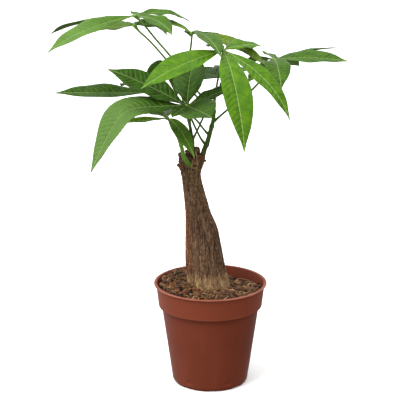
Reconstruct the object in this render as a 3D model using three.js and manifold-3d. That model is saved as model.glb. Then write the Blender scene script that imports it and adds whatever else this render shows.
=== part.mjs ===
// A potted money tree: a swollen woody trunk with three green shoots and ten
// hand-shaped leaves, standing in bark compost in a plastic nursery pot.
// Millimetres, +Z up. The front faces -Y, and the origin is the middle of the
// pot's foot, on the surface that the pot stands on.

import * as THREE from "three";
import { mergeVertices } from "three/addons/utils/BufferGeometryUtils.js";
import Module from "manifold-3d";

const wasm = await Module();
wasm.setup();

// ---------------------------------------------------------------------------
// Driving dimensions
// ---------------------------------------------------------------------------

const GAP = 0.3; // between neighbouring pieces
const DEGREE = Math.PI / 180;

const POT_HEIGHT = 110;
const RIM_RADIUS = 60;
const LIP_THICKNESS = 1.2;
const BAND_TOP_RADIUS = 57.6; // the straight collar under the lip
const BAND_FOOT_RADIUS = 55.1;
const BAND_FOOT_HEIGHT = 86;
const BODY_TOP_RADIUS = 51.8; // the tapering body below the collar
const BODY_TOP_HEIGHT = 84.4;
const FOOT_RADIUS = 40.4;
const FOOT_HEIGHT = 3.2;
const POT_WALL = 1.4;
const POT_FLOOR = 2.8;
const POT_SIDES = 42;
const DRAINS = 9; // holes in the floor, each with a notch through the foot
const DRAIN_RADIUS = 2.7;
const GROOVE_INNER = 25.8; // the groove under the floor that joins the drains
const GROOVE_OUTER = 32;
const GROOVE_DEPTH = 1.4;
const NOTCH_WIDTH = 12.5;
const NOTCH_HEIGHT = 1.3;
const FIRST_DRAIN = 5; // degrees from the front, towards the right

const BLADE_THICKNESS = 0.8;
const BLADE_FOLD = 0.16; // rise of the margins for each millimetre of half width
const BLADE_WAVE = 1.1; // rise and fall of the margins
const PETIOLE_RADIUS = 1.05;
const JOINT_RADIUS = 2.1; // the swellings at both ends of a petiole
const HUB_RADIUS = 2.7; // the knob where the leaflets meet
const KINK_START = 0.35; // shares of a leaflet's length where a fold begins and ends
const KINK_END = 0.61;
const MIDRIB_STRIDES = 4; // straight strides from one outline share to the next

// Each row is [x, y, z, width]: the trunk from its root stump to its crown.
const TRUNK = [
  [3, 2, 38, 16],
  [2, 1, 60, 30],
  [0, 0, 84, 42],
  [-1, 0, 103, 44],
  [-3, 0, 114, 41],
  [-5.6, 0, 131, 39.8],
  [-7.7, 0, 154, 36.2],
  [-9.6, 0, 171, 32.3],
  [-13.3, 0, 188, 25.5],
  [-16, 0, 204, 22.4],
  [-19.2, 0, 221, 19.6],
  [-20.6, 0, 232, 20.2],
  [-20.2, 0, 240, 24],
  [-19.6, 0, 247, 23],
];
const TRUNK_SIDES = 28;
const TRUNK_STEPS = 24;

// Each row is a cut or knobbly stub of the crown: [foot, top, radius].
const CROWN_STUBS = [
  [[-28, -2, 236], [-31.2, -3, 252.5], 3.4],
  [[-17, 1, 240], [-14, 2, 257.5], 3],
  [[-13, -2, 238], [-9.2, -3, 250.5], 4.6],
  [[-22, 4, 240], [-24, 8, 253], 3.6],
  [[-14, 5, 238], [-11, 10, 249], 3.4],
  [[-28, 0, 232], [-34.5, -1, 239.5], 1.8],
];

// Green shoots, from inside the crown to their tips. Each row is [x, y, z].
const SHOOT_RIGHT = {
  name: "shoot_right",
  route: [
    [-9, -2, 245],
    [-6.6, -2, 255],
    [-3.8, -2, 262],
    [-0.5, -2, 274],
    [2.8, -3, 288],
    [3.5, -5, 300],
    [3.6, -8, 309],
  ],
  footRadius: 2.9,
  tipRadius: 1.6,
  nodes: [0.25, 0.55, 0.8],
};
const SHOOT_LEFT = {
  name: "shoot_left",
  route: [
    [-18, 0, 243],
    [-18.3, 0, 258],
    [-19.5, 2, 268],
    [-22.6, 6.5, 286],
    [-24.2, 12, 305],
    [-25.8, 20, 330],
    [-25.5, 23, 343],
  ],
  footRadius: 1.9,
  tipRadius: 1.3,
  nodes: [0.2, 0.42, 0.66, 0.86],
};
const SHOOT_FRONT = {
  name: "shoot_front",
  route: [
    [-17.5, -3, 238],
    [-21, -9.5, 240.5],
    [-23.9, -12.3, 244],
    [-27.8, -13.5, 251.4],
    [-30.1, -12.5, 261.2],
    [-33.4, -8.5, 269.5],
  ],
  footRadius: 3.1,
  tipRadius: 1.7,
  nodes: [0.45, 0.8],
};

const SHOOT_SIDES = 8;
const SHOOT_STEPS = 14;

// Each leaf: the shoot that it grows on, the height of its joint there, the
// way of its petiole, the hub where its leaflets meet, and the leaflets.
// A leaflet's row is [heading, length, width, rise, droop, bend, bank, swing, kink]:
// heading in degrees from +X towards +Y, rise and droop the slopes in degrees
// at the hub and the tip, bend over 1 where the slope changes late, bank the
// roll that lifts the right-hand margin, swing the turn of the heading, and
// kink the share of the change of slope that comes as a fold at half length.
const LEAVES = [
  {
    name: "leaf_front",
    shoot: SHOOT_RIGHT,
    joint: 302,
    way: [[5.5, -11, 321], [9, -24, 344]],
    hub: [12, -50, 368],
    leaflets: [
      [-80, 124, 32, -10, -76, 0.9, 12, 8],
      [-40.5, 103, 21, -17, -67, 1.5, -15, 9],
      [-153, 93, 34, -10, -33, 1.3, 20, -8],
      [58, 72, 19, 4, -16, 1.2, -20, -5],
      [104, 62, 16, 0, -14, 1.2, 0],
    ],
  },
  {
    name: "leaf_crown",
    shoot: SHOOT_LEFT,
    joint: 342.5,
    way: [[-21.3, 17, 355]],
    hub: [-19, 10, 375],
    leaflets: [
      [-73, 96, 26, 10, -26, 1.4, 10, 1],
      [-17, 88, 19, -3, -39, 1.1, -16, -6],
      [152, 54, 15, 25, -7, 1.1, 0, -6],
      [92, 66, 15, -5, -24, 1.5, 0],
      [60, 66, 18, -6, -26, 1.5, 0],
    ],
  },
  {
    name: "leaf_left_top",
    shoot: SHOOT_RIGHT,
    joint: 296,
    way: [[-20, 2, 324.5], [-41, 4, 352], [-56, 5, 369.5], [-69, 5, 385.5]],
    hub: [-77, 5, 394],
    leaflets: [
      [-164, 98, 29, -10, -37, 1.6, 16],
      [164, 110, 29, -7.5, -25, 1.5, -3, -27],
      [31, 68, 19, 7, -33, 1.3, -12],
      [-51, 77, 21, 4, -22, 1.4, -8, -16],
      [86, 72, 18, -3, -14, 1.2, 0],
    ],
  },
  {
    name: "leaf_left_back",
    shoot: SHOOT_RIGHT,
    joint: 290,
    way: [[-26.5, 13, 323], [-46.5, 22, 346], [-63.5, 29, 364], [-75, 33, 374]],
    hub: [-79, 35, 379],
    leaflets: [
      [143, 59, 22, -11, -1, 1.2, 19, 1],
      [-48, 64, 19, 13, -25, 1.5, 36, -16],
      [74, 70, 17, -2, -16, 1.2, 0],
      [96, 72, 17, -3, -17, 1.2, 0],
    ],
  },
  {
    name: "leaf_right",
    shoot: SHOOT_RIGHT,
    joint: 284,
    way: [[16, 0, 296], [42, 3, 317], [56, 4, 333]],
    hub: [65, 5, 349],
    leaflets: [
      [-88, 73, 26, 5, -44, 1.5, -3, 3],
      [-16, 76, 30, 7, -7, 1.2, -14, 6],
      [26, 82, 16, 10, -5, 1.1, 10, 12],
      [54, 50, 20, -13, -21, 1.4, 30, -1],
      [80, 74, 22, -6, -22, 1.3, -16],
      [102, 50, 14, 4, -12, 1.1, -14, -9],
      [127, 46, 20, -4, -23, 1, -18],
      [-126, 50, 20, -14, -26, 1.3, 0],
    ],
  },
  {
    name: "leaf_middle",
    shoot: SHOOT_LEFT,
    joint: 276,
    way: [[-21.5, -14, 288], [-23, -32, 300]],
    hub: [-24, -45, 311],
    leaflets: [
      [84, 61, 34, 61, -3, 1.7, 11, -11],
      [-4, 50, 22, 23, 26, 1.4, -22, -8],
      [-73, 68, 38, 5, -3, 1.3, -22, 8],
      [166, 90, 32, 25, 14, 1.7, 25, -7],
      [-168, 133, 42, 2.8, -67, 1.1, 19, 1, 0.74],
      [-125, 27, 16, -9, -26, 1.4, 0],
    ],
  },
  {
    name: "leaf_left",
    shoot: SHOOT_RIGHT,
    joint: 270,
    way: [[-7.5, 0, 277], [-16, 2, 287], [-40, 5, 302]],
    hub: [-63, 10, 313],
    leaflets: [
      [-177, 98, 31, 1, 0, 0.8, 15, 1],
      [114, 84, 26, 4, -20, 1.4, 0],
      [90, 88, 26, 4, -20, 1.4, 0],
      [72, 54, 22, -4, -24, 1.4, 0],
    ],
  },
  {
    name: "leaf_hanging",
    shoot: SHOOT_FRONT,
    joint: 269,
    way: [[-38, 0, 278]],
    hub: [-45.4, 15, 285],
    leaflets: [
      [-68, 75, 15, 2, -45.5, 1, -27, 7],
      [-144, 66, 20, 2, 4, 1.5, 3],
      [96, 72, 24, 4, -26, 1.4, 0],
      [125, 62, 20, 6, -24, 1.4, 0],
    ],
  },
  {
    name: "leaf_right_back",
    shoot: SHOOT_LEFT,
    joint: 264,
    way: [[-13.5, 4, 275], [-6.5, 10, 289], [8, 16, 311.5]],
    hub: [16, 20, 327],
    leaflets: [
      [122, 64, 26, -4, 0, 1.4, 23],
      [66, 72, 24, 6, -19, 1.4, 0],
      [88, 94, 28, 4, -20, 1.4, 0],
      [-85, 42, 18, -15, -50, 1.4, 0],
    ],
  },
  {
    name: "leaf_back",
    shoot: SHOOT_RIGHT,
    joint: 259.5,
    way: [[-9.7, -2, 266.5], [-14.4, -2.5, 275.8], [-19.8, -3, 288], [-27, 2, 302], [-33, 16, 322]],
    hub: [-40, 35, 340],
    leaflets: [
      [-112, 63, 23, -8, -13, 1.3, 56, -13],
      [89, 56, 18, -31, -79, 1.3, 0, -16],
      [78, 70, 20, -6, -20, 1.4, 0],
      [100, 58, 18, -8, -24, 1.4, 0],
    ],
  },
];

// Half outline of a leaflet: [share of the length, share of the half width].
const LEAFLET_OUTLINE = [
  [0, 0.1],
  [0.07, 0.15],
  [0.19, 0.52],
  [0.34, 0.87],
  [0.5, 1],
  [0.66, 0.91],
  [0.81, 0.6],
  [0.93, 0.2],
  [1, 0.05],
];

// ---------------------------------------------------------------------------
// Solids
// ---------------------------------------------------------------------------

// The solid that a closed three.js geometry bounds.
function solidOf(geometry) {
  const bare = geometry.clone();
  bare.deleteAttribute("normal");
  bare.deleteAttribute("uv");
  const merged = mergeVertices(bare, 1e-4);
  const mesh = new wasm.Mesh({
    numProp: 3,
    vertProperties: new Float32Array(merged.getAttribute("position").array),
    triVerts: new Uint32Array(merged.getIndex().array),
  });
  return new wasm.Manifold(mesh);
}

function geometryOf(solid) {
  const { vertProperties, triVerts } = solid.getMesh();
  const geometry = new THREE.BufferGeometry();
  geometry.setAttribute("position", new THREE.BufferAttribute(vertProperties, 3));
  geometry.setIndex(new THREE.BufferAttribute(triVerts, 1));
  geometry.computeVertexNormals();
  return geometry;
}

function joined(solids) {
  return solids.reduce((whole, solid) => whole.add(solid));
}

function namedMesh(name, solid, material) {
  const mesh = new THREE.Mesh(geometryOf(solid), material);
  mesh.name = name;
  return mesh;
}

// A closed geometry from rings of points, each ring with as many as the last.
// The rings run anticlockwise as seen from the far end.
function loft(rings) {
  const sides = rings[0].length;
  const positions = rings.flat().flatMap((point) => point.toArray());
  const faces = [];
  for (let ring = 0; ring + 1 < rings.length; ring += 1) {
    for (let side = 0; side < sides; side += 1) {
      const here = ring * sides + side;
      const beside = ring * sides + ((side + 1) % sides);
      faces.push(here, beside, beside + sides, here, beside + sides, here + sides);
    }
  }
  const last = (rings.length - 1) * sides;
  for (let side = 1; side + 1 < sides; side += 1) {
    faces.push(0, side + 1, side);
    faces.push(last, last + side, last + side + 1);
  }
  const geometry = new THREE.BufferGeometry();
  geometry.setAttribute("position", new THREE.Float32BufferAttribute(positions, 3));
  geometry.setIndex(faces);
  return geometry;
}

// A rod along a smooth curve through the points. radiusAt takes the share of
// the length and the angle round the rod.
function rod(points, radiusAt, sides, steps) {
  const curve = new THREE.CatmullRomCurve3(points.map((point) => new THREE.Vector3(...point)));
  const frames = curve.computeFrenetFrames(steps, false);
  const rings = [];
  for (let step = 0; step <= steps; step += 1) {
    const share = step / steps;
    const middle = curve.getPointAt(share);
    const ring = [];
    for (let side = 0; side < sides; side += 1) {
      const angle = (side / sides) * 2 * Math.PI;
      const radius = radiusAt(share, angle);
      const point = middle.clone();
      point.addScaledVector(frames.normals[step], radius * Math.cos(angle));
      point.addScaledVector(frames.binormals[step], radius * Math.sin(angle));
      ring.push(point);
    }
    rings.push(ring);
  }
  return loft(rings);
}

// A stream of even random numbers from 0 to 1 that is the same on each run.
function seeded(seed) {
  let state = seed;
  return () => {
    state = (state * 1664525 + 1013904223) % 4294967296;
    return state / 4294967296;
  };
}

// ---------------------------------------------------------------------------
// Pot
// ---------------------------------------------------------------------------

// The pot's inner wall, from the floor to the rim: [radius, height].
const POT_INSIDE = [
  [FOOT_RADIUS - POT_WALL, POT_FLOOR + 1],
  [BODY_TOP_RADIUS - POT_WALL, BODY_TOP_HEIGHT + 0.6],
  [BAND_FOOT_RADIUS - POT_WALL, BAND_FOOT_HEIGHT + 1],
  [BAND_TOP_RADIUS - POT_WALL - 0.9, POT_HEIGHT - 12],
  [BAND_TOP_RADIUS - POT_WALL - 0.4, POT_HEIGHT - 11.4], // the line where pots stop when stacked
  [BAND_TOP_RADIUS - POT_WALL, POT_HEIGHT - 0.8],
];

function potSolid() {
  const outline = [
    [0, 0],
    [GROOVE_INNER - 0.8, 0],
    [GROOVE_INNER, GROOVE_DEPTH],
    [GROOVE_OUTER, GROOVE_DEPTH],
    [GROOVE_OUTER + 0.8, 0],
    [FOOT_RADIUS - 1.8, 0],
    [FOOT_RADIUS, FOOT_HEIGHT],
    [BODY_TOP_RADIUS, BODY_TOP_HEIGHT],
    [BAND_FOOT_RADIUS - 0.6, BAND_FOOT_HEIGHT - 1],
    [BAND_FOOT_RADIUS, BAND_FOOT_HEIGHT + 0.6],
    [BAND_TOP_RADIUS, POT_HEIGHT - LIP_THICKNESS - 1],
    [RIM_RADIUS - 0.6, POT_HEIGHT - LIP_THICKNESS],
    [RIM_RADIUS, POT_HEIGHT - LIP_THICKNESS + 0.6],
    [RIM_RADIUS - 0.2, POT_HEIGHT - 0.3],
    [RIM_RADIUS - 0.9, POT_HEIGHT],
    [BAND_TOP_RADIUS - POT_WALL + 0.5, POT_HEIGHT],
    ...POT_INSIDE.toReversed(),
    [FOOT_RADIUS - POT_WALL - 1.2, POT_FLOOR],
    [0, POT_FLOOR],
  ];
  const shell = new THREE.LatheGeometry(outline.map(([r, z]) => new THREE.Vector2(r, z)), POT_SIDES);
  shell.rotateX(90 * DEGREE);
  let pot = solidOf(shell);
  for (let drain = 0; drain < DRAINS; drain += 1) {
    const turn = (FIRST_DRAIN - 90 + (drain * 360) / DRAINS) * DEGREE;
    const hole = new THREE.CylinderGeometry(DRAIN_RADIUS, DRAIN_RADIUS, 2 * POT_FLOOR, 8);
    hole.rotateX(90 * DEGREE);
    hole.translate((GROOVE_INNER + GROOVE_OUTER) / 2, 0, POT_FLOOR);
    hole.rotateZ(turn);
    const notchLength = FOOT_RADIUS - GROOVE_OUTER + 2;
    const notch = new THREE.BoxGeometry(notchLength, NOTCH_WIDTH, 2 * NOTCH_HEIGHT);
    notch.translate(GROOVE_OUTER - 0.5 + notchLength / 2, 0, 0);
    notch.rotateZ(turn);
    pot = pot.subtract(solidOf(hole)).subtract(solidOf(notch));
  }
  return pot;
}

// ---------------------------------------------------------------------------
// Trunk
// ---------------------------------------------------------------------------

function trunkWidthAt(height) {
  const above = TRUNK.findIndex((row) => row[2] >= height);
  if (above <= 0) return TRUNK.at(above)[3];
  const [low, high] = [TRUNK[above - 1], TRUNK[above]];
  const share = (height - low[2]) / (high[2] - low[2]);
  return low[3] + (high[3] - low[3]) * share;
}

// The trunk as a rod, its radius grown by extra, with or without its ridges.
function trunkRod(extra, ridged, sides) {
  const curve = new THREE.CatmullRomCurve3(TRUNK.map(([x, y, z]) => new THREE.Vector3(x, y, z)));
  const radiusAt = (share, angle) => {
    const height = curve.getPointAt(share).z;
    const round = trunkWidthAt(height) / 2;
    const ridge = 0.026 * Math.sin(5 * angle + 1.4 * share) + 0.03 * Math.sin(9 * angle - 3 * share);
    const ring = 0.014 * Math.sin(height / 2.1);
    return round * (ridged ? 1 + ridge + ring : 1) + extra;
  };
  return rod(TRUNK.map(([x, y, z]) => [x, y, z]), radiusAt, sides, TRUNK_STEPS);
}

function trunkSolid(shootSpaces) {
  const stubs = CROWN_STUBS.map(([foot, top, radius]) => {
    const knob = (share, angle) => radius * (1 + 0.12 * Math.sin(3 * angle + 5 * share) - 0.22 * share ** 4);
    const middle = foot.map((value, axis) => (value + top[axis]) / 2);
    return solidOf(rod([foot, middle, top], knob, 7, 3));
  });
  const wood = joined([solidOf(trunkRod(0, true, TRUNK_SIDES)), ...stubs]);
  return shootSpaces.reduce((left, space) => left.subtract(space), wood);
}

// ---------------------------------------------------------------------------
// Compost
// ---------------------------------------------------------------------------

const SOIL_RINGS = [15, 26, 36, 45, 52.5];
const SOIL_SECTORS = 32;
const SOIL_WALL_GAP = 0.8;
const BARK_CHIPS = 22;
const FIBRES = 4;
const TRUNK_CLEARANCE = 2.1; // from the trunk's mean radius to the compost around it
const TRUNK_HOLE_SIDES = 24;

// The height of the compost: near the lip all round, heaped against the left
// of the trunk, and hollow beside the wall at the right and back.
function soilHeight(x, y) {
  const hollow = 9 * Math.exp(-((x - 33) ** 2 + (y - 36) ** 2) / 620);
  const heap = 7 * Math.exp(-((x + 28) ** 2 + (y - 14) ** 2) / 700);
  const lumps = 0.9 * Math.sin(x * 0.31 + 1) * Math.cos(y * 0.27) + 0.6 * Math.sin(x * 0.9 + y * 0.7);
  return 105.8 - hollow + heap + lumps;
}

function soilBody() {
  const wall = POT_INSIDE.map(([radius, height]) => [radius - SOIL_WALL_GAP, height]);
  const wallRadiusAt = (height) => {
    const above = wall.findIndex((point) => point[1] >= height);
    const [low, high] = [wall[above - 1], wall[above]];
    return low[0] + ((high[0] - low[0]) * (height - low[1])) / (high[1] - low[1]);
  };
  const rings = [];
  const levels = [
    [wall[0][0] - 1.5, POT_FLOOR + GAP],
    ...wall.slice(0, 3),
  ];
  const ringOf = (radius, heightAt) => {
    const ring = [];
    for (let sector = 0; sector < SOIL_SECTORS; sector += 1) {
      const angle = (sector / SOIL_SECTORS) * 2 * Math.PI;
      const [x, y] = [radius * Math.cos(angle), radius * Math.sin(angle)];
      ring.push(new THREE.Vector3(x, y, heightAt(x, y)));
    }
    return ring;
  };
  for (const [radius, height] of levels) {
    rings.push(ringOf(radius, () => height));
  }
  const edge = wallRadiusAt(98) - 0.6;
  rings.push(ringOf(edge, (x, y) => soilHeight(x, y) - 3.5));
  for (const radius of SOIL_RINGS.toReversed()) {
    rings.push(ringOf(radius, soilHeight));
  }
  return loft(rings);
}

function soilSolid() {
  const draw = seeded(27);
  const pieces = [solidOf(soilBody())];
  const scatter = (piece, reach) => {
    const radius = 23 + (52 - 23 - reach / 2) * draw();
    const angle = draw() * 2 * Math.PI;
    const [x, y] = [radius * Math.cos(angle), radius * Math.sin(angle)];
    piece.rotateZ(draw() * 2 * Math.PI);
    piece.translate(x, y, soilHeight(x, y) + 0.5);
    pieces.push(solidOf(piece));
  };
  for (let count = 0; count < BARK_CHIPS; count += 1) {
    const length = 5 + 6 * draw();
    const chip = new THREE.BoxGeometry(length, 3 + 3 * draw(), 2 + 1.5 * draw());
    chip.rotateX((draw() - 0.5) * 1.2);
    chip.rotateY((draw() - 0.5) * 0.9);
    scatter(chip, length);
  }
  for (let count = 0; count < FIBRES; count += 1) {
    const half = 5 + 4 * draw();
    const rise = 1 + 1.5 * draw();
    const side = (draw() - 0.5) * 6;
    const fibre = rod([[-half, 0, -1.2], [0, side, rise], [half, 0, -1.2]], () => 0.8, 4, 4);
    scatter(fibre, 2 * half);
  }
  return joined(pieces).subtract(solidOf(trunkRod(TRUNK_CLEARANCE, false, TRUNK_HOLE_SIDES)));
}

// ---------------------------------------------------------------------------
// Shoots
// ---------------------------------------------------------------------------

function shootSolid(shoot, extra) {
  const radiusAt = (share) => {
    const plain = shoot.footRadius + (shoot.tipRadius - shoot.footRadius) * share;
    const knots = shoot.nodes.map((node) => Math.exp(-(((share - node) / 0.035) ** 2)));
    const swelling = 0.5 * Math.max(...knots);
    const rounding = share > 0.97 ? 0.7 : 1;
    return (plain + swelling) * rounding + extra;
  };
  const [start, after] = shoot.route.slice(0, 2).map((point) => new THREE.Vector3(...point));
  const [before, end] = shoot.route.slice(-2).map((point) => new THREE.Vector3(...point));
  start.addScaledVector(start.clone().sub(after).normalize(), extra);
  end.addScaledVector(end.clone().sub(before).normalize(), extra);
  const route = [start.toArray(), ...shoot.route.slice(1, -1), end.toArray()];
  return solidOf(rod(route, radiusAt, SHOOT_SIDES, SHOOT_STEPS));
}

// The point on a shoot's axis at a height.
function axisPoint(shoot, height) {
  const curve = new THREE.CatmullRomCurve3(shoot.route.map((point) => new THREE.Vector3(...point)));
  const points = curve.getSpacedPoints(200);
  return points.find((point) => point.z >= height).toArray();
}

// ---------------------------------------------------------------------------
// Leaves
// ---------------------------------------------------------------------------

// The points and frames of a leaflet's midrib at the shares of its length.
function midribFrames(hub, [heading, length, , rise, droop, bend, bank, swing = 0, kink = 0], shares) {
  const frames = [];
  const place = new THREE.Vector3(...hub);
  const roll = bank * DEGREE;
  let before = 0;
  const frameAt = (share) => {
    const turn = (heading + swing * share) * DEGREE;
    const folded = THREE.MathUtils.smoothstep(share, KINK_START, KINK_END);
    const drooped = (1 - kink) * share ** bend + kink * folded;
    const slope = (rise + (droop - rise) * drooped) * DEGREE;
    const [c, s] = [Math.cos(turn), Math.sin(turn)];
    const along = new THREE.Vector3(Math.cos(slope) * c, Math.cos(slope) * s, Math.sin(slope));
    const up = new THREE.Vector3(-Math.sin(slope) * c, -Math.sin(slope) * s, Math.cos(slope));
    const right = new THREE.Vector3(s, -c, 0);
    return {
      along,
      right: right.clone().multiplyScalar(Math.cos(roll)).addScaledVector(up, Math.sin(roll)),
      up: up.clone().multiplyScalar(Math.cos(roll)).addScaledVector(right, -Math.sin(roll)),
    };
  };
  for (const share of shares) {
    const stride = (share - before) / MIDRIB_STRIDES;
    for (let count = 0; count < MIDRIB_STRIDES; count += 1) {
      place.addScaledVector(frameAt(before + (count + 0.5) * stride).along, stride * length);
    }
    before = share;
    frames.push({ place: place.clone(), ...frameAt(share) });
  }
  return frames;
}

// A leaflet as a thin closed blade: margins, midrib and both faces.
function leafletBlade(hub, row, phase) {
  const halfWidth = row[2] / 2;
  const frames = midribFrames(hub, row, LEAFLET_OUTLINE.map(([share]) => share));
  const rings = frames.map(({ place, right, up }, index) => {
    const [share, part] = LEAFLET_OUTLINE[index];
    const reach = halfWidth * part;
    const point = (side, face) => {
      const wave = BLADE_WAVE * part * Math.sin(2 * Math.PI * (2.6 * share + phase) + side);
      const lift = Math.abs(side) * (BLADE_FOLD * reach + wave) + (face * BLADE_THICKNESS) / 2;
      return place.clone().addScaledVector(right, side * reach).addScaledVector(up, lift);
    };
    return [point(1, -1), point(0, -1), point(-1, -1), point(-1, 1), point(0, 1), point(1, 1)];
  });
  return bladeFrom(rings);
}

// A closed geometry from rings of six: right, middle and left of the
// underside, then left, middle and right of the upper face. Both faces are
// split along the same diagonals.
function bladeFrom(rings) {
  const positions = rings.flat().flatMap((point) => point.toArray());
  const faces = [];
  const quad = (a, b, c, d, flip) => {
    if (flip) faces.push(a, b, d, b, c, d);
    else faces.push(a, b, c, a, c, d);
  };
  for (let ring = 0; ring + 1 < rings.length; ring += 1) {
    for (let side = 0; side < 6; side += 1) {
      const here = ring * 6 + side;
      const beside = ring * 6 + ((side + 1) % 6);
      quad(here, beside, beside + 6, here + 6, side >= 3);
    }
  }
  const last = (rings.length - 1) * 6;
  faces.push(0, 4, 1, 0, 5, 4, 1, 3, 2, 1, 4, 3);
  faces.push(last, last + 1, last + 4, last, last + 4, last + 5);
  faces.push(last + 1, last + 2, last + 3, last + 1, last + 3, last + 4);
  const geometry = new THREE.BufferGeometry();
  geometry.setAttribute("position", new THREE.Float32BufferAttribute(positions, 3));
  geometry.setIndex(faces);
  return geometry;
}

function petioleRod(leaf) {
  const start = axisPoint(leaf.shoot, leaf.joint);
  const radiusAt = (share) => {
    const swelling = Math.exp(-((share / 0.07) ** 2)) * 0.5 + Math.exp(-(((1 - share) / 0.035) ** 2));
    return PETIOLE_RADIUS + (JOINT_RADIUS - PETIOLE_RADIUS) * swelling;
  };
  return rod([start, ...leaf.way, leaf.hub], radiusAt, 6, 10);
}

function leafSolid(leaf, shootSpaces) {
  const blades = leaf.leaflets.map((row, index) => solidOf(leafletBlade(leaf.hub, row, 0.37 * index)));
  const hub = new THREE.OctahedronGeometry(HUB_RADIUS);
  hub.translate(...leaf.hub);
  const green = joined([solidOf(petioleRod(leaf)), solidOf(hub), ...blades]);
  return green.subtract(shootSpaces.get(leaf.shoot));
}

// ---------------------------------------------------------------------------
// The potted plant
// ---------------------------------------------------------------------------

const PLASTIC = new THREE.MeshStandardMaterial({ color: "#7d3a29", roughness: 0.42, metalness: 0 });
const COMPOST = new THREE.MeshStandardMaterial({ color: "#5a4430", roughness: 0.95, metalness: 0 });
const BARK = new THREE.MeshStandardMaterial({ color: "#5b4334", roughness: 0.9, metalness: 0 });
const STEM_GREEN = new THREE.MeshStandardMaterial({ color: "#2f4d1b", roughness: 0.5, metalness: 0 });
const LEAF_GREEN = new THREE.MeshStandardMaterial({ color: "#4a7a2a", roughness: 0.4, metalness: 0 });

const shoots = [SHOOT_RIGHT, SHOOT_LEFT, SHOOT_FRONT];
const shootSpaces = new Map(shoots.map((shoot) => [shoot, shootSolid(shoot, GAP)]));

const plant = new THREE.Group();
plant.add(namedMesh("pot", potSolid(), PLASTIC));
plant.add(namedMesh("compost", soilSolid(), COMPOST));
plant.add(namedMesh("trunk", trunkSolid([...shootSpaces.values()]), BARK));
for (const shoot of shoots) {
  plant.add(namedMesh(shoot.name, shootSolid(shoot, 0), STEM_GREEN));
}
for (const leaf of LEAVES) {
  plant.add(namedMesh(leaf.name, leafSolid(leaf, shootSpaces), LEAF_GREEN));
}

export default plant;
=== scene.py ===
import random
from math import atan2, cos, exp, hypot, pi, radians, sin, sqrt, tau

import bpy
from mathutils import Matrix, Vector
from mathutils.noise import fractal, noise


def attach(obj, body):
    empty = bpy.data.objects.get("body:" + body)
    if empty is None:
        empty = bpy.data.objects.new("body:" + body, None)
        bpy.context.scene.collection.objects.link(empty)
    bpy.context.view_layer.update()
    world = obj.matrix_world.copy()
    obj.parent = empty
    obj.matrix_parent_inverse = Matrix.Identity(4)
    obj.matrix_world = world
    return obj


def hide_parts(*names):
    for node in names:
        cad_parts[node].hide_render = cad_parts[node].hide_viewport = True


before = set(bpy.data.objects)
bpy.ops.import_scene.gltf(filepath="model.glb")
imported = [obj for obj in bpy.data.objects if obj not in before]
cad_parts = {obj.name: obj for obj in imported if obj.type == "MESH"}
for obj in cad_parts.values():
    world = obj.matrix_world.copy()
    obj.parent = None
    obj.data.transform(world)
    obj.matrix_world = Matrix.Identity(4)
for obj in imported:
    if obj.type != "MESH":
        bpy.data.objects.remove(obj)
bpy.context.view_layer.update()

# A small money tree in a nursery pot. Lengths in the tables are millimetres,
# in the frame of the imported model: +Z up, front towards -Y, origin under the
# middle of the pot's foot.

MM = 0.001

# ----- Sizes of the pot -----

POT_HEIGHT = 110
RIM_RADIUS = 60
BAND_TOP_RADIUS = 57.6
BAND_FOOT_RADIUS = 55.1
BAND_FOOT_HEIGHT = 86
BODY_TOP_RADIUS = 51.8
BODY_TOP_HEIGHT = 84.4
FOOT_RADIUS = 40.4
FOOT_HEIGHT = 3.2
POT_WALL = 1.4
POT_FLOOR = 2.8
DRAINS = 9
DRAIN_RADIUS = 2.7
GROOVE_INNER = 25.8
GROOVE_OUTER = 32
GROOVE_DEPTH = 1.4
NOTCH_WIDTH = 12.5
NOTCH_HEIGHT = 1.3
FIRST_DRAIN = 5  # degrees from the front, towards the right
RECESSES = 6
RECESS_MIDDLE = 8.2
RECESS_HALF = (5.2, 2.9)  # half of its width and of its height
RECESS_DEPTH = 0.75

# ----- The trunk: rows of x, y, z and width, from the root stump to the crown -----

TRUNK = [
    (3, 2, 38, 16), (2, 1, 60, 30), (0, 0, 84, 42), (-1, 0, 103, 44),
    (-3, 0, 114, 41), (-5.6, 0, 131, 39.8), (-7.7, 0, 154, 36.2),
    (-9.6, 0, 171, 32.3), (-13.3, 0, 188, 25.5), (-16, 0, 204, 22.4),
    (-19.2, 0, 221, 19.6), (-20.6, 0, 232, 20.2), (-20.2, 0, 240, 24),
    (-19.6, 0, 247, 23),
]

TRUNK_WIDTHS = [(row[2], row[3]) for row in TRUNK]
TRUNK_LEANS = [(row[2], row[0]) for row in TRUNK]

# Cut or knobbly stubs of the crown: foot, top, radius.
CROWN_STUBS = [
    ((-28, -2, 236), (-31.2, -3, 252.5), 3.4),
    ((-17, 1, 240), (-14, 2, 257.5), 3),
    ((-13, -2, 238), (-9.2, -3, 250.5), 4.6),
    ((-22, 4, 240), (-24, 8, 253), 3.6),
    ((-14, 5, 238), (-11, 10, 249), 3.4),
    ((-28, 0, 232), (-34.5, -1, 239.5), 1.8),
    ((-8.8, -3, 243), (-4.5, -3.6, 243.9), 1.1),
]

# ----- Shoots and leaves -----

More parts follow.
